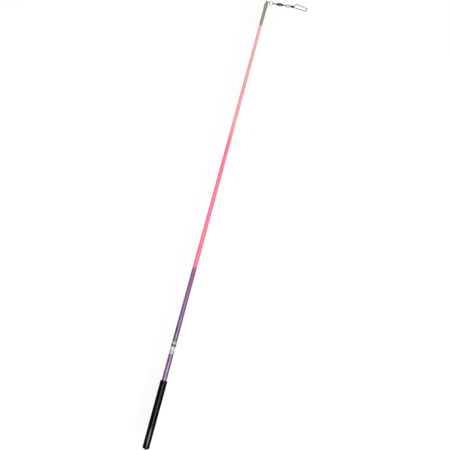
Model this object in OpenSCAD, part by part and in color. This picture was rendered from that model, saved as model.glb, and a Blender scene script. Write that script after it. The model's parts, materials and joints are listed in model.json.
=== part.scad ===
// Rhythmic gymnastics ribbon wand: a tapered rod with a rubber grip, and at its tip a short chain
// of a turning eye, a link, a ring, a barrel swivel and a wire snap for the ribbon.
// The origin is on the rod's axis in the middle of the grip. +Y runs to the tip, +X is the side
// on which the chain lies, and +Z is up. The wand lies on its grip, and the chain beside it.

/* [Stick] */
// Length from the rod's butt end to the top of the tip eye
stick_length = 600; // [500:5:620]
// Diameter of the rod inside the grip
rod_diameter = 6.4; // [5.8:0.1:7]
// Diameter of the rod where it meets the ferrule
rod_tip_diameter = 3.7; // [3.6:0.05:3.8]
// Diameter of the rod's nub, which stands out of the grip's end
nub_diameter = 2.4; // [1.6:0.1:3.2]
// Length of the nub outside the grip
nub_length = 1.6; // [0.5:0.05:3]

/* [Grip] */
// Length of the rubber grip
grip_length = 91.1; // [80:0.05:110]
// Diameter of the grip
grip_diameter = 9.15; // [8.6:0.05:9.4]
// Diameter of the rolled lip at the grip's mouth
lip_diameter = 9.5; // [9.45:0.05:10]

/* [Label] */
// Distance from the butt to the label band
label_start = 128.6; // [110:0.1:200]
// Width of the label band along the rod
label_width = 15.8; // [8:0.1:30]
// Thickness of the label film
label_film = 0.12; // [0.08:0.01:0.2]

/* [Ferrule] */
// Length of ferrule tube that shows between the rod and the head
tube_length = 21; // [16:0.5:28]
// Diameter of the ferrule tube
tube_diameter = 3.96; // [3.9:0.02:4.1]
// Length of the ferrule head
head_length = 7.9; // [7:0.1:10]
// Diameter of the ferrule head
head_diameter = 4.56; // [4.4:0.02:5]

/* [Tip eye and link] */
// Radius of the tip eye at the middle of its wire
tip_eye_radius = 1.15; // [1.1:0.01:1.2]
// Radius of the tip eye's wire
tip_eye_wire = 0.45; // [0.4:0.01:0.48]
// Radius of the wire of the link and the ring
link_wire = 0.3; // [0.25:0.01:0.32]
// Radius of the link's round ends at the middle of the wire
link_end_radius = 0.95; // [0.92:0.01:1]
// Direction of the link and ring, turned from +X
link_heading = 3; // [-5:1:8]
// Distance from the tip eye to the middle of the ring
ring_reach = 5.8; // [5.6:0.1:6.2]
// Radius of the ring at the middle of its wire
ring_radius = 2.43; // [2.2:0.01:2.6]

/* [Swivel] */
// Height of the chain's axis below the rod's axis
chain_drop = 2.5; // [2.3:0.05:2.55]
// Place of the swivel on the ring, turned from +X
swivel_place = 4; // [-15:1:5]
// Direction of the swivel's axis, turned from +X
swivel_heading = 6.7; // [0:0.1:10]
// Distance from the ring's wire to the middle of the far eye
swivel_reach = 19.7; // [19.5:0.1:21]
// Radius of the near eye at the middle of the wire
near_eye_radius = 1.85; // [1.7:0.01:1.88]
// Turn of the near eye round the swivel's axis, from upright
near_eye_roll = 16; // [0:1:25]
// Radius of the far eye at the middle of the wire
far_eye_radius = 1.9; // [1.85:0.05:2.1]
// Radius of the swivel eyes' wire
swivel_wire = 0.35; // [0.3:0.01:0.35]
// Radius of the wire's end wrapped round the far eye's neck
wrap_wire = 0.27; // [0.2:0.01:0.3]
// Number of turns wrapped round the far eye's neck
wrap_turns = 3; // [1:1:3]
// Length of the barrel
barrel_length = 10.6; // [10.4:0.1:10.8]
// Largest diameter of the barrel
barrel_diameter = 4.2; // [4:0.05:4.4]

/* [Snap] */
// Radius of the snap's wire
snap_wire = 0.4; // [0.35:0.01:0.41]
// Distance from the far eye's wire to the snap's far bend
snap_reach = 23.25; // [21:0.25:28]
// Height of the gate's shoulder above the snap's axis
shoulder_height = 4.8; // [4.4:0.1:5.4]
// Length of the folded clasp
clasp_length = 4.5; // [4.3:0.1:4.7]

/* [Hidden] */
$fn = 48;
wire_sides = 12;
bend_step = 15;
rod_radius = rod_diameter / 2;
rod_tip_radius = rod_tip_diameter / 2;
nub_radius = nub_diameter / 2;
nub_edge = 0.3;
grip_radius = grip_diameter / 2;
lip_radius = lip_diameter / 2;
tube_radius = tube_diameter / 2;
head_radius = head_diameter / 2;

// Places along the stick, from the middle of the straight part of the grip
butt = -46;
grip_end = butt + nub_length;
grip_mouth = grip_end + grip_length;
end_wall = 2.4;
end_crown = 0.35;
end_round = 2.2;
lip_width = 2.1;
lip_round = 0.5;
taper_start = grip_mouth + 5.5;
tip_y = butt + stick_length - tip_eye_radius - tip_eye_wire;
tip_gap = 0.1;
head_top = tip_y - tip_eye_radius - tip_eye_wire - tip_gap;
head_base = head_top - head_length;
tube_mouth = head_base - tube_length;

// The rod's tenon in the ferrule tube, and the tube's spigot in the head
tenon_radius = 1.45;
tenon_length = 16;
spigot_radius = 1.6;
spigot_length = 3.2;
head_wall = 1.4;
head_edge = 0.5;
crimp_depth = 0.15;
crimp_width = 0.8;
crimp_places = [2.6, 5.6];

// The tip eye's shank, washer and riveted end
shank_radius = 0.6;
running_gap = 0.05;
washer_radius = 1.35;
washer_thickness = 0.4;
rivet_radius = 1.05;
rivet_length = 0.9;

// Centres along the chain
tip_centre = [0, tip_y, 0];
drop = [0, 0, -chain_drop];
ring_centre = tip_centre + ring_reach * direction(link_heading) + drop;
swivel_start = ring_centre + ring_radius * direction(swivel_place);
far_centre = swivel_start + swivel_reach * direction(swivel_heading);
snap_start = far_centre + [far_eye_radius, 0, 0];

// The link joins the tip eye's outer side and the ring's inner side
link_top = tip_eye_radius;
link_low = ring_reach - ring_radius;
link_run = norm([link_low - link_top, chain_drop]);
link_slope = atan2(chain_drop, link_low - link_top);

// The swivel: places are measured from the ring's wire along the swivel's axis
interlink_gap = 0.13;
near_middle = near_eye_radius - swivel_wire - link_wire - interlink_gap;
barrel_middle = 8.9;
neck_radius = 0.55;
cavity_radius = 1.35;
cavity_half = 2.2;
stop_radius = 1.2;
stop_length = 0.9;
end_gap = 0.1;

// The snap: places are measured from the far eye's wire, along X and Y
loop_radius = 0.95;
rise_bend = 0.8;
foot = [snap_reach - 1.6, -0.8];
far_corner = [snap_reach, 2.7];
shoulder = [8.15, shoulder_height];
hook_corner = [5.25, 0.95];
hook_end = [4.35, 0.95];
gate_root = far_corner + 2.1 * (shoulder - far_corner) / norm(shoulder - far_corner);
root_cup = 0.45;
clasp_start = 1.4;
clasp_low = -1.05;
clasp_high = 1.75;
clasp_half = 0.85;
clasp_sheet = 0.35;
clasp_fold = 0.45;
pinch_radius = 0.55;
pinch_bite = 0.02;

function direction(angle) = [cos(angle), sin(angle), 0];
function taper_radius(y) = rod_radius
    - (rod_radius - rod_tip_radius) * (y - taper_start) / (tube_mouth - taper_start);
function arc_points(centre, radius, first, last, steps) =
    [for (i = [0 : steps])
        let (a = first + (last - first) * i / steps) centre + radius * [cos(a), sin(a)]];

// Headings, turns and cut-backs of a bent wire's corners
function heading(a, b) = atan2(b.y - a.y, b.x - a.x);
function corner_turn(p, i) =
    let (t = heading(p[i], p[i + 1]) - heading(p[i - 1], p[i])) t - 360 * round(t / 360);
function cut_back(p, bends, i) = bends[i - 1] * tan(abs(corner_turn(p, i)) / 2);

// A level wire's middle line through the points, with a round bend at each inner one
function bend_points(p, bends, i) =
    let (
        h = heading(p[i - 1], p[i]), turn = corner_turn(p, i), side = sign(turn),
        start = p[i] - cut_back(p, bends, i) * [cos(h), sin(h)],
        centre = start + side * bends[i - 1] * [-sin(h), cos(h)]
    )
    [for (c = arc_points(centre, bends[i - 1], h - side * 90, h - side * 90 + turn,
        ceil(abs(turn) / bend_step))) [c.x, c.y, 0]];
function bent_line(p, bends) = concat(
    [[p[0].x, p[0].y, 0]],
    [for (i = [1 : len(p) - 2]) each bend_points(p, bends, i)],
    [[p[len(p) - 1].x, p[len(p) - 1].y, 0]]
);

// Side directions carried along a line without twist, one for each of its directions
function unit(v) = v / norm(v);
function carried(side, along) = unit(side - (side * along) * along);
function carried_all(side, along, i = 0) =
    i == len(along) ? []
    : let (next = carried(side, along[i])) concat([next], carried_all(next, along, i + 1));

// End shapes of a wire, as places past the end and radii: a flat end, a ball and a cup
function flat_end(radius) = [[0, radius]];
function ball_end(radius) = [for (a = [15 : 15 : 90]) radius * [cos(a), sin(a)]];
function cup_end(radius, ball) =
    let (rim = sqrt(ball * ball - radius * radius))
    [for (a = [15 : 15 : 60]) [-ball * cos(a), ball * sin(a)], [-rim, radius]];

// A solid turned round the stick's axis, from points of radius and place along the stick
module turned(points) {
    rotate([-90, 0, 0]) rotate_extrude() polygon(points);
}

// A solid turned round the swivel's axis, from points of radius and place along the swivel
module swivel_turned(points) {
    rotate([0, 90, 0]) rotate_extrude() polygon(points);
}

// A wire ring that lies flat round the origin
module wire_ring(radius, wire) {
    rotate_extrude() translate([radius, 0]) circle(r = wire);
}

// A wire ring that stands on edge, along X
module standing_ring(radius, wire) {
    rotate([90, 0, 0]) wire_ring(radius, wire);
}

// A wire swept along its middle line. Each end shape starts at its innermost or outermost ring.
module wire(line, radius, start_shape, end_shape) {
    last = len(line) - 1;
    first_way = unit(line[1] - line[0]);
    last_way = unit(line[last] - line[last - 1]);
    rings = concat(
        [for (e = start_shape) [line[0] - e.x * first_way, first_way, e.y]],
        [for (i = [1 : last - 1]) [line[i], unit(line[i + 1] - line[i - 1]), radius]],
        [for (i = [len(end_shape) - 1 : -1 : 0])
            [line[last] + end_shape[i].x * last_way, last_way, end_shape[i].y]]
    );
    tube(rings, false);
}

// A closed wire link, swept along its middle line
module closed_wire(line, radius) {
    n = len(line);
    tube([for (i = [0 : n - 1])
        [line[i], unit(line[(i + 1) % n] - line[(i + n - 1) % n]), radius]], true);
}

// A skin over rings, each with its middle, its direction and its radius
module tube(rings, closed) {
    n = len(rings);
    side = carried_all(abs(rings[0][1].z) > 0.9 ? [1, 0, 0] : [0, 0, 1], [for (r = rings) r[1]]);
    corners = [
        for (i = [0 : n - 1]) for (k = [0 : wire_sides - 1])
            let (a = 360 * k / wire_sides)
            rings[i][0] + rings[i][2] * (cos(a) * side[i] + sin(a) * cross(rings[i][1], side[i]))
    ];
    walls = [
        for (i = [0 : closed ? n - 1 : n - 2]) for (k = [0 : wire_sides - 1])
            let (j = (i + 1) % n, m = (k + 1) % wire_sides)
            [i, j, j, i] * wire_sides + [k, k, m, m]
    ];
    ends = closed ? [] : [
        [for (k = [0 : wire_sides - 1]) k],
        [for (k = [wire_sides - 1 : -1 : 0]) (n - 1) * wire_sides + k]
    ];
    polyhedron(corners, concat(walls, ends));
}

module on_swivel() {
    translate(swivel_start) rotate([0, 0, swivel_heading]) children();
}

module on_snap() {
    translate(snap_start) children();
}

module rod() {
    color("mediumvioletred") turned([
        [0, butt], [nub_radius - nub_edge, butt], [nub_radius, butt + nub_edge],
        [nub_radius, grip_end + end_wall], [rod_radius, grip_end + end_wall],
        [rod_radius, taper_start],
        [rod_tip_radius, tube_mouth], [tenon_radius, tube_mouth],
        [tenon_radius, tube_mouth + tenon_length], [0, tube_mouth + tenon_length]
    ]);
}

module grip_sleeve() {
    corner = [grip_radius - end_round, grip_end + end_crown + end_round];
    lip_start = grip_mouth - lip_width;
    color("black") turned(concat(
        [[nub_radius, grip_end]],
        arc_points(corner, end_round, -90, 0, 6),
        [
            [grip_radius, lip_start], [lip_radius, lip_start + lip_round],
            [lip_radius, grip_mouth - lip_round], [lip_radius - lip_round, grip_mouth],
            [rod_radius, grip_mouth], [rod_radius, grip_end + end_wall],
            [nub_radius, grip_end + end_wall]
        ]
    ));
}

module label_band() {
    low = butt + label_start;
    high = low + label_width;
    color("lightblue") turned([
        [taper_radius(low), low], [taper_radius(low) + label_film, low],
        [taper_radius(high) + label_film, high], [taper_radius(high), high]
    ]);
}

module ferrule_tube() {
    color("tan") difference() {
        turned([
            [0, tube_mouth], [tube_radius, tube_mouth], [tube_radius, head_base],
            [spigot_radius, head_base], [spigot_radius, head_base + spigot_length],
            [0, head_base + spigot_length]
        ]);
        turned([
            [0, tube_mouth - 1], [tenon_radius, tube_mouth - 1],
            [tenon_radius, tube_mouth + tenon_length], [0, tube_mouth + tenon_length]
        ]);
        for (place = crimp_places)
            turned([
                [tube_radius + 1, tube_mouth + place],
                [tube_radius - crimp_depth, tube_mouth + place + crimp_width * 0.3],
                [tube_radius - crimp_depth, tube_mouth + place + crimp_width * 0.7],
                [tube_radius + 1, tube_mouth + place + crimp_width]
            ]);
    }
}

module ferrule_head() {
    ceiling = head_top - head_wall;
    color("darkkhaki") turned([
        [spigot_radius, head_base], [head_radius - head_edge / 2, head_base],
        [head_radius, head_base + head_edge], [head_radius, head_top - head_edge],
        [head_radius - head_edge, head_top], [shank_radius + running_gap, head_top],
        [shank_radius + running_gap, ceiling], [spigot_radius, ceiling]
    ]);
}

module tip_eye() {
    shank_top = tip_y - tip_eye_radius + 0.15;
    washer_top = head_top - head_wall - end_gap;
    shank_end = washer_top - washer_thickness;
    color("dimgray") {
        translate(tip_centre) wire_ring(tip_eye_radius, tip_eye_wire);
        turned([
            [0, shank_end - rivet_length], [rivet_radius, shank_end - rivet_length],
            [rivet_radius, shank_end], [shank_radius, shank_end],
            [shank_radius, shank_top], [0, shank_top]
        ]);
    }
}

module eye_washer() {
    top = head_top - head_wall - end_gap;
    low = top - washer_thickness;
    color("silver") turned([
        [shank_radius + running_gap, low], [washer_radius, low],
        [washer_radius, top], [shank_radius + running_gap, top]
    ]);
}

module tip_link() {
    line = concat(
        arc_points([0, 0], link_end_radius, 90, 270, 12),
        arc_points([link_run, 0], link_end_radius, -90, 90, 12)
    );
    color("silver") translate(tip_centre) rotate([0, 0, link_heading])
        translate([link_top, 0, 0]) rotate([0, link_slope, 0]) rotate([90, 0, 0])
            closed_wire([for (p = line) [p.x, p.y, 0]], link_wire);
}

module chain_ring() {
    color("silver") translate(ring_centre) wire_ring(ring_radius, link_wire);
}

// A swivel eye's neck, with the stop that holds it inside the barrel
module eye_neck(from, mouth) {
    inner = mouth + end_gap;
    swivel_turned([
        [0, from], [neck_radius, from], [neck_radius, inner], [stop_radius, inner],
        [stop_radius, inner + stop_length], [0, inner + stop_length]
    ]);
}

module swivel_eye_near() {
    color("silver") on_swivel() {
        translate([near_middle, 0, 0]) rotate([near_eye_roll, 0, 0])
            standing_ring(near_eye_radius, swivel_wire);
        eye_neck(near_middle + near_eye_radius, barrel_middle - cavity_half);
    }
}

module swivel_barrel() {
    half = barrel_length / 2;
    belly = barrel_diameter / 2;
    outline = [
        [0.8, half], [1, half - 0.2], [1, half - 1.5], [0.85, half - 1.7], [0.85, half - 2],
        [belly - 0.35, half - 2.9], [belly - 0.1, half - 3.6], [belly, half - 4.4]
    ];
    bore = neck_radius + running_gap;
    color("goldenrod") on_swivel() translate([barrel_middle, 0, 0]) swivel_turned(concat(
        [for (p = outline) p],
        [for (i = [len(outline) - 1 : -1 : 0]) [outline[i].x, -outline[i].y]],
        [
            [bore, -half], [bore, -cavity_half], [cavity_radius, -cavity_half],
            [cavity_radius, cavity_half], [bore, cavity_half], [bore, half]
        ]
    ));
}

module swivel_eye_far() {
    color("silver") on_swivel() translate([swivel_reach, 0, 0]) rotate([0, 0, 180]) {
        wire_ring(far_eye_radius, swivel_wire);
        eye_neck(far_eye_radius, swivel_reach - barrel_middle - cavity_half);
        // The turns of the wire's end lie side by side, as one sleeve
        swivel_turned([
            [0, far_eye_radius], [neck_radius + 2 * wrap_wire, far_eye_radius],
            [neck_radius + 2 * wrap_wire, far_eye_radius + 2 * wrap_turns * wrap_wire],
            [0, far_eye_radius + 2 * wrap_turns * wrap_wire]
        ]);
    }
}

// The frame's wire turns round the far eye's wire, rises to the snap's level and runs on
module snap_frame() {
    turn = [for (a = [60 : 15 : 315]) loop_radius * [cos(a), 0, sin(a)]];
    leg_start = loop_radius * sqrt(2) + rise_bend * tan(22.5);
    rise = [for (a = [135 : -15 : 90])
        [leg_start, 0, -rise_bend] + rise_bend * [cos(a), 0, sin(a)]];
    level = bent_line([[leg_start + 0.5, 0], foot, far_corner, gate_root], [0.8, 1]);
    color("dimgray") on_snap()
        wire(concat(turn, rise, level), snap_wire, flat_end(snap_wire),
            cup_end(snap_wire, root_cup));
}

module snap_clasp() {
    inside = clasp_half - clasp_sheet;
    back = clasp_low + clasp_fold;
    color("saddlebrown") on_snap() {
        translate([clasp_start, 0, 0]) rotate([90, 0, 90]) linear_extrude(clasp_length)
            polygon([
                [clasp_high, clasp_half], [clasp_low + clasp_fold, clasp_half],
                [clasp_low, clasp_half - clasp_fold], [clasp_low, clasp_fold - clasp_half],
                [clasp_low + clasp_fold, -clasp_half], [clasp_high, -clasp_half],
                [clasp_high, -inside], [back, -inside], [back, inside], [clasp_high, inside]
            ]);
        for (side = [-1, 1]) scale([1, 1, side])
            translate([clasp_start + 1.6, -0.1, snap_wire - pinch_bite])
                cylinder(r = pinch_radius, h = clasp_half - snap_wire);
    }
}

module snap_gate() {
    line = bent_line([gate_root, shoulder, hook_corner, hook_end], [0.9, 0.7]);
    color("gray") on_snap() wire(line, snap_wire, ball_end(snap_wire), flat_end(snap_wire));
}

rod();
grip_sleeve();
label_band();
ferrule_tube();
ferrule_head();
tip_eye();
eye_washer();
tip_link();
chain_ring();
swivel_eye_near();
swivel_barrel();
swivel_eye_far();
snap_frame();
snap_clasp();
snap_gate();
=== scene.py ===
"""Looks of the rhythmic ribbon wand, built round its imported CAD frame. Lengths are in metres."""

import json
import math

import bpy
from mathutils import Matrix, Vector


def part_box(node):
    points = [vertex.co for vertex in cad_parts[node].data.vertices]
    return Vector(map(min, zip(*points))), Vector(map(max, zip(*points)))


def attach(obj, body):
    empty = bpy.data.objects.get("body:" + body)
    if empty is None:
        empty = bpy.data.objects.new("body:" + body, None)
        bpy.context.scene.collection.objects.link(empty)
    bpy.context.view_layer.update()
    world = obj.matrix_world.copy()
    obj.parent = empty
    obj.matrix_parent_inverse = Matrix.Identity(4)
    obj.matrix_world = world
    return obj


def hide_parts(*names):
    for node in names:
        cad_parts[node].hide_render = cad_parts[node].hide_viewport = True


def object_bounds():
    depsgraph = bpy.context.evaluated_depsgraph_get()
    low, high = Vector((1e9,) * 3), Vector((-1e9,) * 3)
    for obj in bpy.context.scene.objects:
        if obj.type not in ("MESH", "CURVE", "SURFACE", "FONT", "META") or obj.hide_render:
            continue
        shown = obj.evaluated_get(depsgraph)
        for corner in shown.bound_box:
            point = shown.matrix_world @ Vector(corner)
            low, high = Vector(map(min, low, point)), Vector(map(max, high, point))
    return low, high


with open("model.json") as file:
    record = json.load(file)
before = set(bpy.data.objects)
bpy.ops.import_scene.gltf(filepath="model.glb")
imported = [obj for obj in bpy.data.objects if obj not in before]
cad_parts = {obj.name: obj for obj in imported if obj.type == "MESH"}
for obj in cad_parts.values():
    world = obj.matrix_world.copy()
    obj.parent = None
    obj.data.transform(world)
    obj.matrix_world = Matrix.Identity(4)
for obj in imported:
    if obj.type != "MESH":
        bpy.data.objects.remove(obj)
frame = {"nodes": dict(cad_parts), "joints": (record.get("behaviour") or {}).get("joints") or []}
cad_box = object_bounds()

MM = 0.001
TURN = 2 * math.pi
X, Y, Z = Vector((1, 0, 0)), Vector((0, 1, 0)), Vector((0, 0, 1))

# Places that the frame gives
JOINTS = {j["name"]: j for j in frame["joints"]}
TIP = Vector(JOINTS["eye_spin"]["pos_m"])
RING = Vector(JOINTS["swivel_swing"]["pos_m"])
RING_GRIP = Vector(JOINTS["ring_tilt"]["pos_m"])
SWIVEL_START = Vector(JOINTS["barrel_spin"]["pos_m"])
FAR_EYE = Vector(JOINTS["far_eye_spin"]["pos_m"])
SNAP = Vector(JOINTS["snap_tilt"]["pos_m"])
GATE_ROOT = Vector(JOINTS["gate_flex"]["pos_m"])
SWIVEL_AXIS = Vector(JOINTS["barrel_spin"]["axis"]).normalized()
LINK_WAY = Vector(JOINTS["ring_tilt"]["axis"]).normalized().cross(Z)
BUTT_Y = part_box("rod")[0].y
TENON_END_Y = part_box("rod")[1].y
GRIP_LOW, GRIP_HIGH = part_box("grip_sleeve")
LABEL_LOW, LABEL_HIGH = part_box("label_band")
TUBE_LOW, TUBE_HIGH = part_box("ferrule_tube")
HEAD_LOW, HEAD_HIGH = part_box("ferrule_head")

# Far enough below the wand that the chain stays above the floor in every pose
FLOOR_Z = -1.15 * cad_box[1].x


# ---------------------------------------------------------------- mesh helpers

def mesh_object(name, corners, faces, sharp_degrees=38):
    """A new object from corners and faces, shaded smooth except at sharp edges."""
    mesh = bpy.data.meshes.new(name)
    mesh.from_pydata([tuple(c) for c in corners], [], faces)
    mesh.validate()
    mesh.update()
    mesh.shade_smooth()
    mesh.set_sharp_from_angle(angle=math.radians(sharp_degrees))
    made = bpy.data.objects.new(name, mesh)
    bpy.context.scene.collection.objects.link(made)
    return made


def side_of(way):
    """A unit vector across way."""
    helper = X if abs(way.z) > 0.9 else Z
    return (helper - helper.dot(way) * way).normalized()


def skin(rings, closed=False):
    """Corners and faces of a skin over rings of points; a ring of one point is a pole."""
    corners, starts = [], []
    for ring in rings:
        starts.append(len(corners))
        corners.extend(ring)
    faces = []
    count = len(rings)
    for i in range(count if closed else count - 1):
        j = (i + 1) % count
        a, b = rings[i], rings[j]
        n = max(len(a), len(b))
        for k in range(n):
            m = (k + 1) % n
            if len(a) == 1:
                faces.append((starts[i], starts[j] + m, starts[j] + k))
            elif len(b) == 1:
                faces.append((starts[i] + k, starts[i] + m, starts[j]))
            else:
                faces.append((starts[i] + k, starts[i] + m, starts[j] + m, starts[j] + k))
    return corners, faces


def joined(*parts):
    """Corners and faces of several closed skins as one mesh."""
    corners, faces = [], []
    for part_corners, part_faces in parts:
        start = len(corners)
        corners.extend(part_corners)
        faces.extend(tuple(start + i for i in face) for face in part_faces)
    return corners, faces


def circle_ring(middle, way, radius, sides):
    """Points round way, or the one point of a pole where the radius is 0."""
    if radius <= 0:
        return [middle]
    across = side_of(way)
    up = way.cross(across)
    return [
        middle + radius * (math.cos(TURN * k / sides) * across + math.sin(TURN * k / sides) * up)
        for k in range(sides)
    ]


def lathe(profile, base, way, sides=96, loop=False):
    """A solid turned round way, from points of radius and place. A loop is a sleeve."""
    rings = [circle_ring(base + along * way, way, radius, sides) for radius, along in profile]
    return skin(rings, closed=loop)


def rounded(points, bends, steps=6):
    """The outline with an arc at each corner whose bend isn't 0. Ends keep their place."""
    out = []
    for i, (point, bend) in enumerate(zip(points, bends)):
        here = Vector(point)
        if not bend or i in (0, len(points) - 1):
            out.append(here)
            continue
        back = (Vector(points[i - 1]) - here).normalized()
        ahead = (Vector(points[i + 1]) - here).normalized()
        half = back.angle(ahead) / 2
        cut = bend / math.tan(half)
        centre = here + (back + ahead).normalized() * bend / math.sin(half)
        first = (here + back * cut - centre).normalized()
        last = (here + ahead * cut - centre).normalized()
        for k in range(steps + 1):
            out.append(centre + bend * first.slerp(last, k / steps))
    return out


def carried_sides(ways):
    """Side vectors carried along a line without twist."""
    side = side_of(ways[0])
    sides = []
    for way in ways:
        side = (side - side.dot(way) * way).normalized()
        sides.append(side)
    return sides


def wire(line, radii, sides=24, closed=False, start="round", end="round"):
    """A round wire swept along a line. Each end is round, flat or a cup of that radius."""
    n = len(line)
    radii = [radii] * n if isinstance(radii, float) else radii
    if closed:
        ways = [(line[(i + 1) % n] - line[i - 1]).normalized() for i in range(n)]
    else:
        ways = [(line[min(i + 1, n - 1)] - line[max(i - 1, 0)]).normalized() for i in range(n)]
    across = carried_sides(ways)

    def ring(i, shift, radius):
        middle = line[i] + shift * ways[i]
        if radius <= 0:
            return [middle]
        up = ways[i].cross(across[i])
        return [
            middle
            + radius * (math.cos(TURN * k / sides) * across[i] + math.sin(TURN * k / sides) * up)
            for k in range(sides)
        ]

    if closed:
        return skin([ring(i, 0, radii[i]) for i in range(n)], closed=True)
    rings = [ring(0, -shift, radius) for shift, radius in end_shape(start, radii[0])]
    rings += [ring(i, 0, radii[i]) for i in range(1, n - 1)]
    rings += [ring(n - 1, shift, radius) for shift, radius in reversed(end_shape(end, radii[-1]))]
    return skin(rings)


def end_shape(kind, radius, steps=6):
    """Places past a wire's end and radii there, from the pole to the full wire."""
    if kind == "round":
        angles = [math.pi / 2 * k / steps for k in range(steps + 1)]
        return [(radius * math.cos(a), radius * math.sin(a)) for a in angles]
    if kind == "flat":
        edge = radius * 0.15
        return [(0, 0), (0, radius - edge), (-edge * 0.3, radius - edge * 0.3), (-edge, radius)]
    ball = float(kind)
    rim = math.asin(min(1, radius / ball))
    angles = [rim * k / steps for k in range(steps + 1)]
    return [(-ball * math.cos(a), ball * math.sin(a)) for a in angles]


def arc(centre, u, v, radius, first, last, steps):
    """Points on an arc from first to last degrees, turning from u to v."""
    return [
        centre
        + radius * (math.cos(math.radians(a)) * u + math.sin(math.radians(a)) * v)
        for a in (first + (last - first) * k / steps for k in range(steps + 1))
    ]


def curve_between(a, a_way, b, b_way, pull, steps):
    """Points on a smooth curve between two places, without the two ends."""
    handles = (a, a + a_way * pull, b - b_way * pull, b)
    points = []
    for k in range(1, steps):
        t = k / steps
        weights = ((1 - t) ** 3, 3 * t * (1 - t) ** 2, 3 * t * t * (1 - t), t ** 3)
        points.append(sum((h * w for h, w in zip(handles, weights)), Vector((0, 0, 0))))
    return points


def place(name, shape, body, material, stands_for, sharp_degrees=38):
    """Makes a piece from a shape, gives it its material, puts it on its body and hides the CAD node
    that it stands for.
    """
    piece = mesh_object(name, *shape, sharp_degrees=sharp_degrees)
    piece.data.materials.append(material)
    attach(piece, body)
    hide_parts(stands_for)
    return piece


# ---------------------------------------------------------------- materials

class Nodes:
    """A new material with short calls for its nodes."""

    def __init__(self, name, **settings):
        self.material = bpy.data.materials.new(name)
        self.material.use_nodes = True
        self.tree = self.material.node_tree
        self.shader = self.tree.nodes["Principled BSDF"]
        self.place = self.add("ShaderNodeTexCoord").outputs["Object"]
        for socket, value in settings.items():
            self.shader.inputs[socket.replace("_", " ")].default_value = value

    def add(self, kind, **settings):
        node = self.tree.nodes.new(kind)
        for key, value in settings.items():
            setattr(node, key, value)
        return node

    def link(self, source, target):
        self.tree.links.new(source, target)

    def stretched(self, stretch):
        node = self.add("ShaderNodeMapping")
        node.inputs["Scale"].default_value = stretch
        self.link(self.place, node.inputs["Vector"])
        return node.outputs["Vector"]

    def noise(self, size, stretch=(1, 1, 1), detail=4.0, rough=0.55):
        """Noise whose blobs are about size metres across, before the stretch."""
        node = self.add("ShaderNodeTexNoise")
        self.link(self.stretched(stretch), node.inputs["Vector"])
        node.inputs["Scale"].default_value = 1 / size
        node.inputs["Detail"].default_value = detail
        node.inputs["Roughness"].default_value = rough
        return node.outputs["Fac"]

    def cells(self, size, stretch=(1, 1, 1)):
        node = self.add("ShaderNodeTexVoronoi", feature="F1")
        self.link(self.stretched(stretch), node.inputs["Vector"])
        node.inputs["Scale"].default_value = 1 / size
        return node.outputs

    def axis(self, name):
        node = self.add("ShaderNodeSeparateXYZ")
        self.link(self.place, node.inputs["Vector"])
        return node.outputs[name]

    def near(self, point, reach, soft):
        """1 within reach metres of a point, falling to 0 over soft metres more."""
        node = self.add("ShaderNodeVectorMath", operation="DISTANCE")
        self.link(self.place, node.inputs[0])
        node.inputs[1].default_value = point
        return self.remap(node.outputs["Value"], reach, reach + soft, 1.0, 0.0)

    def remap(self, value, low, high, to_low=0.0, to_high=1.0):
        node = self.add("ShaderNodeMapRange", clamp=True)
        self.link(value, node.inputs["Value"])
        limits = {"From Min": low, "From Max": high, "To Min": to_low, "To Max": to_high}
        for socket, number in limits.items():
            node.inputs[socket].default_value = number
        return node.outputs["Result"]

    def math(self, operation, a, b=0.0):
        node = self.add("ShaderNodeMath", operation=operation)
        for socket, value in zip(node.inputs, (a, b)):
            if isinstance(value, (int, float)):
                socket.default_value = value
            else:
                self.link(value, socket)
        return node.outputs["Value"]

    def ramp(self, value, stops):
        node = self.add("ShaderNodeValToRGB")
        elements = node.color_ramp.elements
        while len(elements) < len(stops):
            elements.new(0.5)
        for element, (position, colour) in zip(elements, stops):
            element.position = position
            element.color = (*colour, 1)
        self.link(value, node.inputs["Fac"])
        return node.outputs["Color"]

    def mix(self, factor, a, b):
        node = self.add("ShaderNodeMix", data_type="RGBA")
        sockets = (node.inputs[0], node.inputs[6], node.inputs[7])
        for socket, value in zip(sockets, (factor, a, b)):
            if isinstance(value, (int, float)):
                socket.default_value = value
            elif isinstance(value, tuple):
                socket.default_value = (*value, 1)
            else:
                self.link(value, socket)
        return node.outputs[2]

    def set(self, socket, value):
        self.link(value, self.shader.inputs[socket])

    def bump(self, *heights):
        """Bumps one after another, each of a height value and a depth in metres."""
        normal = None
        for value, depth in heights:
            node = self.add("ShaderNodeBump")
            node.inputs["Distance"].default_value = depth
            self.link(value, node.inputs["Height"])
            if normal:
                self.link(normal, node.inputs["Normal"])
            normal = node.outputs["Normal"]
        self.link(normal, self.shader.inputs["Normal"])


PURPLE_END = BUTT_Y + 243 * MM
HOT_PINK_END = BUTT_Y + 421 * MM


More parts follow.
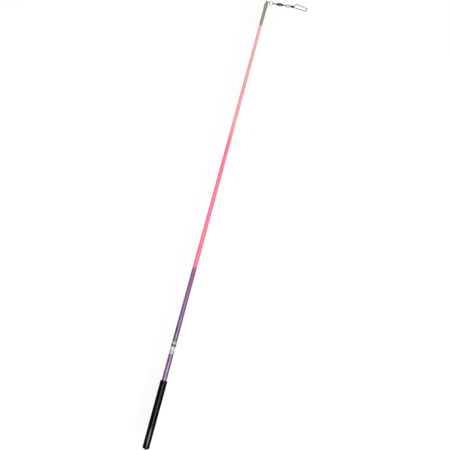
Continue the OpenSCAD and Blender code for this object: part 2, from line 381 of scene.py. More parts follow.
def rod_lacquer():
    """Metallic purple, then hot pink, then salmon pink, under a thin clear coat."""
    n = Nodes("rod_lacquer", Coat_Weight=0.12, Coat_Roughness=0.2, Specular_IOR_Level=0.25)
    wander = n.remap(n.noise(6 * MM, detail=3), 0.3, 0.7, -1.6 * MM, 1.6 * MM)
    along = n.math("ADD", n.axis("Y"), wander)
    pink = n.remap(along, PURPLE_END - 2 * MM, PURPLE_END + 2.5 * MM)
    salmon = n.remap(along, HOT_PINK_END - 12 * MM, HOT_PINK_END + 14 * MM)
    near_tip = n.remap(along, HOT_PINK_END + 60 * MM, TUBE_LOW.y)
    blue_red = n.noise(7 * MM, stretch=(1.5, 0.6, 1.5), detail=2)
    mauve = n.ramp(n.noise(2.2 * MM, stretch=(1, 0.35, 1)), [
        (0.32, (0.185, 0.084, 0.190)), (0.68, (0.340, 0.190, 0.335))])
    purple = n.mix(n.remap(blue_red, 0.42, 0.62), mauve, (0.180, 0.100, 0.255))
    warm = n.remap(along, BUTT_Y + 165 * MM, BUTT_Y + 222 * MM)
    purple = n.mix(warm, purple, (0.190, 0.064, 0.182))
    hot = n.ramp(n.noise(5 * MM, stretch=(1, 0.2, 1)), [
        (0.3, (0.82, 0.145, 0.255)), (0.7, (0.87, 0.175, 0.290))])
    pale = n.ramp(n.noise(2.4 * MM, stretch=(1, 0.5, 1)), [
        (0.3, (0.74, 0.275, 0.290)), (0.7, (0.80, 0.335, 0.350))])
    pale = n.mix(near_tip, pale, (0.75, 0.37, 0.37))
    colour = n.mix(pink, purple, n.mix(salmon, hot, pale))
    flakes = n.cells(0.17 * MM)
    glint = n.remap(flakes["Color"], 0.45, 1.0, 0.0, 0.6)
    flake = n.mix(n.remap(along, BUTT_Y + 110 * MM, BUTT_Y + 190 * MM),
                  (0.60, 0.47, 0.58), (0.42, 0.21, 0.42))
    colour = n.mix(n.math("MULTIPLY", glint, n.math("SUBTRACT", 1.0, pink)), colour, flake)
    n.set("Base Color", colour)
    n.set("Metallic", n.remap(warm, 0.0, 0.6, 0.6, 0.0))
    streak = n.noise(1.2 * MM, stretch=(1, 0.05, 1))
    n.set("Roughness", n.math("ADD", n.remap(pink, 0.0, 1.0, 0.33, 0.42),
                              n.remap(streak, 0.3, 0.7, -0.04, 0.06)))
    n.bump((n.noise(0.9 * MM, stretch=(1, 0.06, 1)), 0.02 * MM), (flakes["Distance"], 0.006 * MM))
    return n.material


def fibre_end():
    """The bare, sanded glass fibre of the rod's nub."""
    n = Nodes("fibre_end", Specular_IOR_Level=0.3)
    fibres = n.noise(0.25 * MM, stretch=(1, 0.1, 1))
    n.set("Base Color", n.ramp(fibres, [(0.3, (0.12, 0.10, 0.08)), (0.7, (0.30, 0.27, 0.22))]))
    n.set("Roughness", n.remap(fibres, 0.3, 0.7, 0.5, 0.8))
    n.bump((fibres, 0.05 * MM))
    return n.material


def grip_rubber():
    """Smooth black rubber: a moulded skin, scuffs, dust, and a polish where it is held."""
    n = Nodes("grip_rubber", Specular_IOR_Level=0.23, Coat_Roughness=0.12)
    n.shader.inputs["Specular Tint"].default_value = (1.0, 0.90, 0.64, 1)
    cloud = n.noise(6 * MM, stretch=(1, 0.4, 1))
    scuff = n.remap(n.noise(1.5 * MM, stretch=(1.6, 0.25, 1.6), detail=6), 0.55, 0.8, 0.0, 0.5)
    dust = n.remap(n.cells(1.9 * MM)["Distance"], 0.0, 0.06, 0.3, 0.0)
    base = n.ramp(cloud, [(0.3, (0.0005, 0.0004, 0.0004)), (0.7, (0.0014, 0.0011, 0.0010))])
    base = n.mix(scuff, base, (0.006, 0.0053, 0.0042))
    n.set("Base Color", n.mix(dust, base, (0.028, 0.026, 0.023)))
    n.set("Roughness", n.math("ADD", n.remap(cloud, 0.3, 0.7, 0.24, 0.29),
                              n.math("MULTIPLY", scuff, 0.2)))
    wander = n.remap(n.noise(4 * MM, detail=3), 0.3, 0.7, -1.5 * MM, 1.5 * MM)
    along = n.math("ADD", n.axis("Y"), wander)
    rise = n.remap(along, GRIP_LOW.y + 3 * MM, GRIP_LOW.y + 10 * MM)
    fall = n.remap(along, GRIP_LOW.y + 20 * MM, GRIP_LOW.y + 31 * MM, 1.0, 0.0)
    n.set("Coat Weight", n.math("MULTIPLY", rise, fall))
    n.bump((n.noise(0.28 * MM, detail=3), 0.012 * MM),
           (n.noise(5 * MM, stretch=(1, 0.5, 1)), 0.10 * MM))
    return n.material


# Each band's start along the label, from 0 to 1, and its colour
LABEL_BANDS = [
    (0.00, (0.40, 0.44, 0.47)), (0.09, (0.14, 0.45, 0.57)), (0.30, (0.44, 0.48, 0.54)),
    (0.38, (0.60, 0.47, 0.44)), (0.46, (0.67, 0.39, 0.31)), (0.60, (0.50, 0.36, 0.31)),
    (0.64, (0.020, 0.016, 0.015)), (0.82, (0.24, 0.31, 0.35)), (0.90, (0.31, 0.42, 0.54)),
]


def label_film():
    """Printed film with plain colour bands; the blue and the black one are in two blocks."""
    n = Nodes("label_film", Coat_Weight=0.12, Coat_Roughness=0.25, Specular_IOR_Level=0.3)
    shake = n.remap(n.noise(0.6 * MM, detail=2), 0.3, 0.7, -0.05 * MM, 0.05 * MM)
    along = n.remap(n.math("ADD", n.axis("Y"), shake), LABEL_LOW.y, LABEL_HIGH.y)
    stops = []
    ends = [start for start, _ in LABEL_BANDS[1:]] + [1.0]
    for (start, colour), end in zip(LABEL_BANDS, ends):
        stops += [(start + 0.008, colour), (end - 0.008, colour)]
    band = n.ramp(along, stops)
    across = n.math("ABSOLUTE", n.math("SUBTRACT", n.axis("X"), 0.25 * MM))
    gap = n.remap(across, 0.42 * MM, 0.52 * MM, 0.6, 0.0)
    in_block = n.math("MULTIPLY", n.remap(along, 0.64, 0.66), n.remap(along, 0.80, 0.82, 1.0, 0.0))
    in_blue = n.math("MULTIPLY", n.remap(along, 0.09, 0.11), n.remap(along, 0.28, 0.30, 0.7, 0.0))
    gap = n.math("MULTIPLY", gap, n.math("ADD", in_block, in_blue))
    band = n.mix(gap, band, (0.52, 0.51, 0.50))
    dots = n.remap(n.cells(0.22 * MM)["Distance"], 0.25, 0.45, 0.09, 0.0)
    band = n.mix(dots, band, (0.62, 0.62, 0.62))
    n.set("Base Color", band)
    n.set("Roughness", n.remap(n.noise(1.5 * MM), 0.3, 0.7, 0.3, 0.45))
    n.bump((n.noise(1.8 * MM, detail=2), 0.03 * MM))
    return n.material


def drawn_metal(name, dark, light, rough, stretch, size=0.5 * MM, tarnish=None, metallic=1.0,
                painted_shades=()):
    """Metal with fine drawn lines, blotches of tarnish, and painted shade round some points, where
    parts meet.
    """
    n = Nodes(name, Metallic=metallic)
    lines = n.noise(size, stretch=stretch, detail=5)
    blotch = n.noise(2.5 * MM, detail=4)
    colour = n.ramp(lines, [(0.3, dark), (0.7, light)])
    if tarnish:
        colour = n.mix(n.remap(blotch, 0.45, 0.72, 0.0, 0.75), colour, tarnish)
    # Painted shade: the colour turns darker round each given point, where wires meet or enter the
    # barrel or the clasp
    for point, reach, shade_colour in painted_shades:
        colour = n.mix(n.near(point, reach, 0.7 * MM), colour, shade_colour)
    n.set("Base Color", colour)
    n.set("Roughness", n.math("ADD", n.remap(lines, 0.3, 0.7, rough - 0.05, rough + 0.07),
                              n.remap(blotch, 0.4, 0.75, 0.0, 0.12)))
    n.bump((lines, size * 0.008), (n.noise(0.12 * MM, detail=2), 0.0008 * MM))
    return n.material


def floor_paint():
    """Pale paint with a little light of its own, so that the floor shows as plain white."""
    n = Nodes("floor_paint", Roughness=0.9, Specular_IOR_Level=0.05)
    n.set("Base Color", n.ramp(n.noise(0.4), [(0.3, (0.40, 0.40, 0.40)), (0.7, (0.42, 0.42, 0.42))]))
    n.shader.inputs["Emission Color"].default_value = (1, 1, 1, 1)
    n.shader.inputs["Emission Strength"].default_value = 0.53
    return n.material


# ---------------------------------------------------------------- the stick

ROD_RADIUS = 3.2 * MM
ROD_TIP_RADIUS = 1.85 * MM
TAPER_START = GRIP_HIGH.y + 5.5 * MM
NUB_RADIUS = 1.2 * MM
END_WALL = 2.4 * MM
TENON_RADIUS = 1.45 * MM
SPIGOT_RADIUS = 1.6 * MM
GRIP_RADIUS = 4.575 * MM
ORIGIN = Vector((0, 0, 0))


def taper_radius(y):
    share = (y - TAPER_START) / (TUBE_LOW.y - TAPER_START)
    return ROD_RADIUS - (ROD_RADIUS - ROD_TIP_RADIUS) * max(0, share)


def make_rod(lacquer, fibre):
    inside = GRIP_LOW.y + END_WALL
    points = [
        (0, BUTT_Y), (NUB_RADIUS, BUTT_Y), (NUB_RADIUS, inside), (ROD_RADIUS, inside),
        (ROD_RADIUS, TAPER_START), (ROD_TIP_RADIUS, TUBE_LOW.y), (TENON_RADIUS, TUBE_LOW.y),
        (TENON_RADIUS, TENON_END_Y), (0, TENON_END_Y)]
    bends = [0, 0.35 * MM, 0, 0.3 * MM, 0, 0.08 * MM, 0, 0.2 * MM, 0]
    profile = rounded(points, bends)
    steps = 120
    start = next(i for i, p in enumerate(profile) if p.y >= TAPER_START - 1e-9)
    length = profile[start + 1].y - profile[start].y
    taper = [
        Vector((taper_radius(y), y))
        for y in (profile[start].y + length * k / steps for k in range(1, steps))]
    profile[start + 1:start + 1] = taper
    rod = place("rod_lacquered", lathe(profile, ORIGIN, Y), "stick", lacquer, "rod")
    rod.data.materials.append(fibre)
    for face in rod.data.polygons:
        if face.center.y < inside:
            face.material_index = 1
    return rod


def make_grip(rubber):
    """The sleeve, with a rounded end round the nub, a parting line and a rolled lip."""
    radius = GRIP_RADIUS
    lip_radius = GRIP_HIGH.x
    low, high = GRIP_LOW.y, GRIP_HIGH.y
    inside = low + END_WALL
    points = [
        (NUB_RADIUS, low + 0.15 * MM), (NUB_RADIUS + 0.55 * MM, low), (radius, low + 0.35 * MM),
        (radius, high - 2.6 * MM), (radius - 0.14 * MM, high - 2.25 * MM),
        (radius - 0.14 * MM, high - 1.95 * MM), (lip_radius, high - 1.6 * MM), (lip_radius, high),
        (ROD_RADIUS + 0.02 * MM, high), (ROD_RADIUS, inside), (NUB_RADIUS, inside)]
    bends = [0, 0.5 * MM, 2.2 * MM, 0.25 * MM, 0.12 * MM, 0.12 * MM, 0.45 * MM, 0.75 * MM,
             0.3 * MM, 0, 0]
    profile = rounded(points, bends, steps=8)
    straight = next(i for i, p in enumerate(profile) if p.y > low + 2 * MM) + 1
    first, last = profile[straight - 1].y, high - 2.9 * MM
    steps = 90
    body = [Vector((radius, first + (last - first) * k / steps)) for k in range(1, steps)]
    profile[straight:straight] = body
    corners, faces = lathe(profile, ORIGIN, Y, sides=128, loop=True)
    seam = 0.05 * MM
    half_width = 0.28 * MM
    for i, corner in enumerate(corners):
        across = math.hypot(corner.x, corner.z)
        on_wall = across > radius - 0.3 * MM and low + 1.2 * MM < corner.y < high - 1.7 * MM
        if on_wall and abs(corner.x) < half_width:
            push = -seam * (1 - abs(corner.x) / half_width)
            corners[i] = Vector((corner.x, corner.y, corner.z * (1 + push / across)))
    return place("grip_sleeve_moulded", (corners, faces), "stick", rubber,
                 "grip_sleeve")


def make_label(film):
    """A film wound once round the rod, whose last few millimetres overlap its start."""
    sides, rows = 160, 24
    thin, lap = 0.09 * MM, 0.03 * MM
    lap_end, lap_edge, lap_turn = 0.22, 0.008, 0.30
    outer, inner = [], []
    for r in range(rows + 1):
        y = LABEL_LOW.y + (LABEL_HIGH.y - LABEL_LOW.y) * r / rows
        edge = 0.6 if r in (0, rows) else 1.0
        outside, inside = [], []
        for k in range(sides):
            turn = k / sides
            step = 1.0 if turn < lap_end else max(0.0, 1 - (turn - lap_end) / lap_edge)
            height = edge * (thin + lap * step * min(1.0, turn / lap_edge))
            angle = TURN * (turn + lap_turn)
            across = Vector((math.cos(angle), 0, -math.sin(angle)))
            outside.append(across * (taper_radius(y) + height) + Y * y)
            inside.append(across * taper_radius(y) + Y * y)
        outer.append(outside)
        inner.append(inside)
    return place("label_wrapped", skin(outer + inner[::-1], closed=True), "stick",
                 film, "label_band")


def make_ferrule_tube(nickel):
    radius = 1.98 * MM
    mouth, shoulder, top = TUBE_LOW.y, HEAD_LOW.y, TUBE_HIGH.y
    outline = [(TENON_RADIUS, mouth), (radius, mouth)]
    bends = [0, 0.22 * MM]
    for crimp in (2.6 * MM, 5.6 * MM):
        for shift, depth in ((0, 0), (0.3 * MM, 0.14 * MM), (0.5 * MM, 0.14 * MM), (0.8 * MM, 0)):
            outline.append((radius - depth, mouth + crimp + shift))
            bends.append(0.12 * MM)
    outline += [(radius, shoulder), (SPIGOT_RADIUS, shoulder), (SPIGOT_RADIUS, top), (0, top)]
    bends += [0.05 * MM, 0, 0.15 * MM, 0]
    profile = rounded(outline, bends, steps=4)
    inner_top = TENON_END_Y + 0.02 * MM
    profile = [Vector((0, inner_top)), Vector((TENON_RADIUS, inner_top))] + profile
    return place("ferrule_tube_drawn", lathe(profile, ORIGIN, Y, sides=96), "stick",
                 nickel, "ferrule_tube")


def make_ferrule_head(nickel):
    radius = HEAD_HIGH.x
    low, top = HEAD_LOW.y, HEAD_HIGH.y
    ceiling = top - 1.4 * MM
    bore = 0.65 * MM
    groove = low + 1.5 * MM
    points = [
        (SPIGOT_RADIUS, low), (radius - 0.08 * MM, low), (radius, low + 0.3 * MM), (radius, groove),
        (radius - 0.13 * MM, groove + 0.13 * MM), (radius - 0.13 * MM, groove + 0.27 * MM),
        (radius, groove + 0.4 * MM), (radius, top - 0.7 * MM), (radius - 0.7 * MM, top),
        (bore, top), (bore, ceiling), (SPIGOT_RADIUS, ceiling)]
    bends = [0, 0.15 * MM, 0.15 * MM, 0.06 * MM, 0.05 * MM, 0.05 * MM, 0.06 * MM, 0.4 * MM,
             0.3 * MM, 0.12 * MM, 0, 0]
    profile = rounded(points, bends, steps=5)
    return place("ferrule_head_turned", lathe(profile, ORIGIN, Y, sides=96, loop=True), "stick",
                 nickel, "ferrule_head")


# ---------------------------------------------------------------- the chain

EYE_RADIUS = 1.15 * MM
EYE_WIRE = 0.45 * MM
LINK_WIRE = 0.3 * MM
LINK_END = 0.95 * MM
NEAR_EYE_RADIUS = 1.85 * MM
NEAR_EYE_ROLL = math.radians(16)
FAR_EYE_RADIUS = (SNAP - FAR_EYE).length
SWIVEL_WIRE = 0.34 * MM
STRAND = 0.27 * MM
NECK_RADIUS = 0.55 * MM
WRAP_LENGTH = 6 * STRAND
SNAP_WIRE = 0.4 * MM
GATE_CUP = 0.45 * MM

# The swivel: places are measured from the ring's wire along the swivel's axis
SWIVEL_REACH = (FAR_EYE - SWIVEL_START).length
RING_GAP = 0.14 * MM
NEAR_MIDDLE = NEAR_EYE_RADIUS - SWIVEL_WIRE - LINK_WIRE - RING_GAP
BARREL_MIDDLE = 8.9 * MM
BARREL_HALF = 5.3 * MM
BARREL_CENTRE = SWIVEL_START + SWIVEL_AXIS * BARREL_MIDDLE
BELLY_RADIUS = 2.1 * MM
COLLAR_SHIFT = SWIVEL_AXIS * (BARREL_HALF - 1.0 * MM)
CAVITY_HALF = 2.2 * MM
STOP_GAP = 0.1 * MM
STOP_RADIUS = 1.2 * MM
STOP_LENGTH = 0.9 * MM
TWIST_PITCH = 2.1 * MM


def torus(middle, u, v, radius, wire_radius, steps=96, sides=32):
    line = arc(middle, u, v, radius, 0, 360 * (steps - 1) / steps, steps - 1)
    return wire(line, wire_radius, sides=sides, closed=True)


def make_tip_eye(metal):
    """The forged eye, its collar and its riveted shank."""
    head_top = HEAD_HIGH.y - TIP.y
    washer_top = head_top - 1.5 * MM
    shank_end = washer_top - 0.4 * MM
    shank = 0.6 * MM
    profile = rounded([
        (0, shank_end - 0.9 * MM), (1.05 * MM, shank_end - 0.9 * MM), (1.05 * MM, shank_end),
        (shank, shank_end), (shank, head_top + 0.1 * MM),
        (shank * 0.8, -EYE_RADIUS + 0.2 * MM), (0, -EYE_RADIUS + 0.25 * MM)],
        [0, 0.3 * MM, 0.1 * MM, 0, 0.1 * MM, 0.1 * MM, 0], steps=4)
    shape = joined(torus(TIP, X, Y, EYE_RADIUS, EYE_WIRE), lathe(profile, TIP, Y, sides=64))
    return place("tip_eye_forged", shape, "eye", metal, "tip_eye")


def make_tip_link(metal):
    """An oval of round wire, with a hairline where its two ends meet."""
    top = TIP + LINK_WAY * EYE_RADIUS
    run = RING_GRIP - top
    way = run.normalized()
    across = way.cross(LINK_WAY.cross(Z)).normalized()
    line = arc(top, across, -way, LINK_END, 0, 180, 24)
    line += arc(RING_GRIP, -across, way, LINK_END, 0, 180, 24)
    gap_share = 0.42
    first = top - across * LINK_END
    last = RING_GRIP - across * LINK_END
    gap = first.lerp(last, gap_share)
    half_gap = (last - first).normalized() * 0.02 * MM
    line = [gap + half_gap] + line[25:] + line[:25] + [gap - half_gap]
    return place("tip_link_bent", wire(line, LINK_WIRE, start="flat", end="flat"), "link",
                 metal, "tip_link")


def make_chain_ring(metal):
    """A ring of round wire, cut square where its ends meet."""
    radius = 2.43 * MM
    cut = 62
    gap = math.degrees(0.03 * MM / radius)
    line = arc(RING, X, Y, radius, cut + gap, cut + 360 - gap, 120)
    return place("chain_ring_bent", wire(line, LINK_WIRE, start="flat", end="flat"), "ring",
                 metal, "chain_ring")


def swivel_eye_shape(centre, radius, to_barrel, up, twist_start, stop_start):
    """A wire loop whose two ends are twisted into a neck, with the stop inside the barrel."""
    out = up.cross(to_barrel)
    neck_end = stop_start + STOP_LENGTH / 3
    turns = (neck_end - twist_start) / TWIST_PITCH

    def strand(phase, steps=40):
        points = []
        for k in range(steps + 1):
            x = twist_start + (neck_end - twist_start) * k / steps
            angle = phase + TURN * turns * k / steps
            points.append(centre + to_barrel * x
                          + STRAND * (math.cos(angle) * up + math.sin(angle) * out))
        return points

    first, last = strand(0), strand(math.pi)
    open_angle = 34
    loop = arc(centre, to_barrel, up, radius, open_angle, 360 - open_angle, 64)
    pull, steps = 0.5 * MM, 8
    enter = curve_between(first[0], -to_barrel, loop[0], (loop[1] - loop[0]).normalized(),
                          pull, steps)
    leave = curve_between(loop[-1], (loop[-1] - loop[-2]).normalized(), last[0], to_barrel,
                          pull, steps)
    line = first[::-1] + enter + loop + leave + last
    growing = [STRAND + (SWIVEL_WIRE - STRAND) * k / steps for k in range(1, steps)]
    radii = ([STRAND] * len(first) + growing + [SWIVEL_WIRE] * len(loop)
             + growing[::-1] + [STRAND] * len(last))
    stop_end = stop_start + STOP_LENGTH
    stop = rounded([(0, stop_start), (STOP_RADIUS, stop_start), (STOP_RADIUS, stop_end),
                    (0, stop_end)], [0, 0.2 * MM, 0.2 * MM, 0])
    return joined(wire(line, radii), lathe(stop, centre, to_barrel, sides=48))


def wrap_shape(centre, start, way, up):
    """The wire's end, wound round the neck in turns that touch."""
    out = up.cross(way)
    radius = NECK_RADIUS + STRAND
    advance = WRAP_LENGTH - 2 * STRAND
    turns = advance / (2 * STRAND)
    steps = 56
    line = []
    for k in range(steps + 1):
        angle = TURN * turns * k / steps
        middle = centre + way * (start + STRAND + advance * k / steps)
        line.append(middle + radius * (math.sin(angle) * up + math.cos(angle) * out))
    return wire(line, STRAND)


def make_near_eye(metal):
    centre = SWIVEL_START + SWIVEL_AXIS * NEAR_MIDDLE
    stop = BARREL_MIDDLE - CAVITY_HALF + STOP_GAP - NEAR_MIDDLE
    up = Matrix.Rotation(NEAR_EYE_ROLL, 3, SWIVEL_AXIS) @ Z
    shape = swivel_eye_shape(centre, NEAR_EYE_RADIUS, SWIVEL_AXIS, up,
                             NEAR_EYE_RADIUS + 0.9 * MM, stop)
    return place("swivel_eye_near_twisted", shape, "near_eye", metal,
                 "swivel_eye_near")


def make_far_eye(metal):
    stop = SWIVEL_REACH - BARREL_MIDDLE - CAVITY_HALF + STOP_GAP
    across = Z.cross(SWIVEL_AXIS)
    eye = swivel_eye_shape(FAR_EYE, FAR_EYE_RADIUS, -SWIVEL_AXIS, across,
                           FAR_EYE_RADIUS + 0.5 * MM, stop)
    wrap = wrap_shape(FAR_EYE, FAR_EYE_RADIUS, -SWIVEL_AXIS, across)
    return place("swivel_eye_far_twisted", joined(eye, wrap), "far_eye", metal,
                 "swivel_eye_far")


def belly_radius(from_middle):
    """The barrel's rounded belly, at this distance from its middle."""
    half_length, fullness, roundness = 3.45 * MM, 2.6, 0.37
    return BELLY_RADIUS * (1 - (abs(from_middle) / half_length) ** fullness) ** roundness


def make_barrel(brass):
    """Two collars, necks and a rounded belly, hollow inside for the two stops."""
    bore = 0.6 * MM
    collar, neck = 1.0 * MM, 0.85 * MM
    collar_end = BARREL_HALF - 1.5 * MM
    neck_end = BARREL_HALF - 2.0 * MM
    half = rounded(
        [(bore, BARREL_HALF - 0.1 * MM), (collar - 0.1 * MM, BARREL_HALF),
         (collar, BARREL_HALF - 0.2 * MM), (collar, collar_end),
         (neck, collar_end - 0.2 * MM), (neck, neck_end)],
        [0, 0.06 * MM, 0.12 * MM, 0.1 * MM, 0.08 * MM, 0], steps=5)
    steps = 60
    belly = [Vector((belly_radius(s), s))
             for s in (neck_end * (1 - 2 * k / steps) for k in range(1, steps))]
    far_half = [Vector((p.x, -p.y)) for p in half[::-1]]
    cavity = [Vector((bore, -CAVITY_HALF)), Vector((1.35 * MM, -CAVITY_HALF)),
              Vector((1.35 * MM, CAVITY_HALF)), Vector((bore, CAVITY_HALF))]
    profile = half + belly + far_half + cavity
    shape = lathe(profile, BARREL_CENTRE, SWIVEL_AXIS, loop=True)
    return place("swivel_barrel_turned", shape, "barrel", brass, "swivel_barrel")


# The snap: places are measured from the far eye's wire, along X and Y
SNAP_LOOP = 0.95 * MM
RISE_BEND = 0.8 * MM
FOOT = Vector((21.65, -0.8, 0)) * MM
FAR_CORNER = Vector((23.25, 2.7, 0)) * MM
SHOULDER = Vector((8.15, 4.8, 0)) * MM
HOOK_CORNER = Vector((5.25, 0.95, 0)) * MM
HOOK_END = Vector((4.35, 0.95, 0)) * MM


def fine_line(points, step=0.35 * MM):
    """The same line, with points no further apart than step."""
    out = [points[0]]
    for a, b in zip(points, points[1:]):
        pieces = max(1, math.ceil((b - a).length / step))
        out += [a.lerp(b, k / pieces) for k in range(1, pieces + 1)]
    return out


def make_snap_frame(steel):
    turn = arc(Vector((0, 0, 0)), X, Z, SNAP_LOOP, 60, 315, 44)
    leg_start = SNAP_LOOP * math.sqrt(2) + RISE_BEND * math.tan(math.pi / 8)
    rise = arc(Vector((leg_start, 0, -RISE_BEND)), X, Z, RISE_BEND, 135, 90, 8)
    level = rounded([Vector((leg_start + 0.5 * MM, 0, 0)), FOOT, FAR_CORNER, GATE_ROOT - SNAP],
                    [0, 0.8 * MM, 1 * MM, 0], steps=14)
    line = [SNAP + p for p in fine_line(turn + rise + level)]
    return place("snap_frame_bent", wire(line, SNAP_WIRE, start="flat", end=str(GATE_CUP)), "snap",
                 steel, "snap_frame")


def make_snap_gate(steel):
    line = rounded([GATE_ROOT - SNAP, SHOULDER, HOOK_CORNER, HOOK_END],
                   [0, 0.9 * MM, 0.7 * MM, 0], steps=14)
    line = [SNAP + p for p in fine_line(line)]
    return place("snap_gate_bent", wire(line, SNAP_WIRE, start="round", end="round"), "gate",
                 steel, "snap_gate")


def clasp_section(low, high, half, sheet, fold):
    """Outer and inner outlines of the folded sheet, from its one lip to the other."""
    outer = rounded([(high, half), (low, half), (low, -half), (high, -half)],
                    [0, fold, fold, 0], steps=8)
    inner = rounded([(high, half - sheet), (low + sheet, half - sheet),
                     (low + sheet, sheet - half), (high, sheet - half)],
                    [0, fold * 0.35, fold * 0.35, 0], steps=8)
    return fine_flat(outer, 0.14 * MM, 17), fine_flat(inner, 0.14 * MM, 17)


def fine_flat(points, step, flat_count):
    """Subdivides the two long flats of a clasp outline evenly, so that outlines match."""
    first = [points[0].lerp(points[1], k / flat_count) for k in range(flat_count)]
    last = [points[-2].lerp(points[-1], k / flat_count) for k in range(1, flat_count + 1)]
    return first + points[1:-1] + last


def make_clasp(bronze):
    """The folded sheet that grips the frame's wire and catches the gate's hook."""
    start, length = 1.4 * MM, 4.5 * MM
    low, high, half = -1.05 * MM, 1.75 * MM, 0.85 * MM
    sheet, fold = 0.33 * MM, 0.6 * MM
    dimple = Vector((start + 1.6 * MM, -0.1 * MM))
    dimple_radius, dimple_depth = 0.62 * MM, 0.16 * MM
    stations = 60
    rings = []
    for s in range(stations + 1):
        share = s / stations
        x = start + length * share
        nose = 1 - min(1, share / 0.22)
        tail = max(0, (share - 0.93) / 0.07)
        top = high - 0.85 * MM * nose ** 1.6 - 0.12 * MM * tail ** 2
        outer, inner = clasp_section(low + 0.3 * MM * nose ** 2, top, half, sheet, fold)
        ring = []
        for y, z in outer + inner[::-1]:
            away = (Vector((x, y)) - dimple).length / dimple_radius
            if away < 1 and abs(z) > half - sheet - 0.05 * MM:
                z -= math.copysign(dimple_depth * (1 - away * away) ** 2, z)
            ring.append(SNAP + Vector((x, y, z)))
        rings.append(ring)
    count = len(rings[0])
    corners, faces = skin(rings)
    for first in (0, stations * count):
        for k in range(count // 2 - 1):
            quad = (first + k, first + k + 1, first + count - 2 - k, first + count - 1 - k)
            faces.append(quad if first else quad[::-1])
    return place("snap_clasp_folded", (corners, faces), "snap", bronze,
                 "snap_clasp", sharp_degrees=50)


# ---------------------------------------------------------------- floor, light and camera

HORIZON = (0.14, 0.14, 0.14)
ZENITH = (0.05, 0.05, 0.05)

VIEW_LEAN = math.radians(15.2)
VIEW_WIDTH = 580 * MM
VIEW_DISTANCE = 3.0
VIEW_SHIFT = Vector((-0.8, 3.93, 0)) * MM
VIEW_CENTRE = (cad_box[0] + cad_box[1]) / 2 + VIEW_SHIFT


def make_floor():
    """A plain pale floor, left out of mirror reflections."""
    half = 6
    corners = [(x, y, FLOOR_Z) for x, y in ((-half, -half), (half, -half), (half, half), (-half, half))]
    floor = mesh_object("floor", corners, [(0, 1, 2, 3)])
    floor.data.materials.append(floor_paint())
    floor.visible_glossy = False


def make_sky():
    """A dim dome, a little brighter towards the horizon."""
    world = bpy.data.worlds.new("studio")
    bpy.context.scene.world = world
    world.use_nodes = True
    tree = world.node_tree
    coordinate = tree.nodes.new("ShaderNodeTexCoord")
    split = tree.nodes.new("ShaderNodeSeparateXYZ")
    ramp = tree.nodes.new("ShaderNodeValToRGB")
    ramp.color_ramp.elements[0].color = (*HORIZON, 1)
    ramp.color_ramp.elements[1].position = 0.7
    ramp.color_ramp.elements[1].color = (*ZENITH, 1)
    tree.links.new(coordinate.outputs["Generated"], split.inputs["Vector"])
    tree.links.new(split.outputs["Z"], ramp.inputs["Fac"])
    tree.links.new(ramp.outputs["Color"], tree.nodes["Background"].inputs["Color"])


def add_softbox(name, target, tilt, height, size, power, mirrored=True):
    """A rectangular light over target, tilted towards +X, that faces it."""
    light = bpy.data.lights.new(name, "AREA")
    light.shape = "RECTANGLE"
    light.size, light.size_y = size
    light.energy = power
    box = bpy.data.objects.new(name, light)
    bpy.context.scene.collection.objects.link(box)
    box.location = target + Vector((math.tan(tilt) * height, 0, height))
    box.rotation_euler = (0, tilt, 0)
    box.visible_camera = False
    box.visible_glossy = mirrored


def make_camera():
    """A camera straight above the wand, turned so that the stick leans in the picture."""
    camera = bpy.data.cameras.new("camera")
    camera.sensor_width = 36
    camera.lens = camera.sensor_width * VIEW_DISTANCE / VIEW_WIDTH
    camera.clip_end = 50
    holder = bpy.data.objects.new("camera", camera)
    bpy.context.scene.collection.objects.link(holder)
    holder.location = VIEW_CENTRE + Z * VIEW_DISTANCE
    holder.rotation_euler = (0, 0, VIEW_LEAN)
    bpy.context.scene.camera = holder


make_camera()
make_floor()
make_sky()
add_softbox("key", Vector((0, -0.15, 0)), math.radians(13), 1.5, (0.9, 0.9), 15)
add_softbox("fill", Vector((0, 0.25, 0)), 0, 3.6, (3, 3), 120, mirrored=False)
bpy.context.scene.view_settings.view_transform = "Standard"

# Colours of painted shade, put round places where parts of the chain meet
BLACK = (0.012, 0.011, 0.010)
BROWN_BLACK = (0.030, 0.018, 0.014)
RED_BROWN = (0.055, 0.024, 0.020)

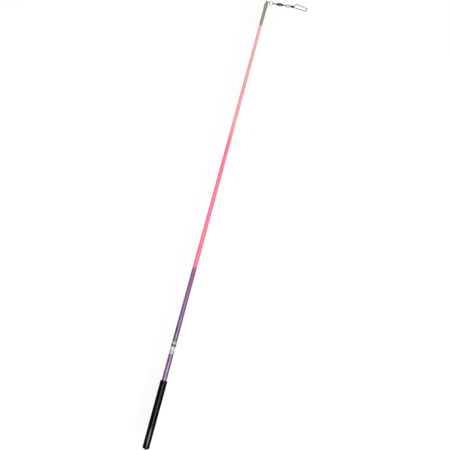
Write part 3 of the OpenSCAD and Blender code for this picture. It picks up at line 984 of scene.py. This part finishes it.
nickel = drawn_metal("ferrule_nickel", (0.31, 0.27, 0.20), (0.43, 0.38, 0.29), 0.45,
                     (1, 0.04, 1), tarnish=(0.32, 0.28, 0.18), metallic=0.35)
# Painted shade: darker round the near eye where the ring passes through it, and at the far eye's neck
# where it enters the barrel
wire_steel = drawn_metal("wire_steel", (0.12, 0.115, 0.11), (0.19, 0.18, 0.175), 0.2,
                         (1, 1, 1), size=0.15 * MM,
                         painted_shades=[(SWIVEL_START + SWIVEL_AXIS * NEAR_MIDDLE, 2.0 * MM, BROWN_BLACK),
                                 (FAR_EYE - SWIVEL_AXIS * 2.4 * MM, 1.6 * MM, BLACK)])
# Painted shade: darker at the snap's loop where the far eye passes through, and round the hook where it
# meets the clasp
snap_steel = drawn_metal("snap_steel", (0.045, 0.042, 0.040), (0.085, 0.080, 0.076), 0.2,
                         (0.2, 1, 1), size=0.15 * MM,
                         painted_shades=[(SNAP, 1.9 * MM, BLACK),
                                 (SNAP + Vector((5.2, 0.8, 0)) * MM, 2.6 * MM, BROWN_BLACK)])
dark_steel = drawn_metal("dark_steel", (0.006, 0.005, 0.003), (0.016, 0.012, 0.008), 0.3,
                         (1, 1, 1), tarnish=(0.010, 0.006, 0.003), metallic=0.8)
# Painted shade: the barrel's two collar ends are darker, black at the near end and red-brown at the far
# end
brass = drawn_metal("barrel_brass", (0.30, 0.21, 0.10), (0.46, 0.35, 0.20), 0.24,
                    (1, 0.25, 0.25), size=0.12 * MM, tarnish=(0.08, 0.06, 0.025),
                    painted_shades=[(BARREL_CENTRE - COLLAR_SHIFT, 1.3 * MM, BLACK),
                            (BARREL_CENTRE + COLLAR_SHIFT, 1.3 * MM, RED_BROWN)])
bronze = drawn_metal("clasp_bronze", (0.012, 0.008, 0.006), (0.035, 0.021, 0.016), 0.34,
                     (0.3, 1, 1), tarnish=(0.05, 0.028, 0.019), metallic=0.6)

make_rod(rod_lacquer(), fibre_end())
make_grip(grip_rubber())
make_label(label_film())
make_ferrule_tube(nickel)
make_ferrule_head(nickel)
make_tip_eye(dark_steel)
make_tip_link(wire_steel)
make_chain_ring(wire_steel)
make_near_eye(wire_steel)
make_barrel(brass)
make_far_eye(wire_steel)
make_snap_frame(snap_steel)
make_clasp(bronze)
make_snap_gate(snap_steel)

washer = frame["nodes"]["eye_washer"]
washer.data.materials.clear()
washer.data.materials.append(wire_steel)
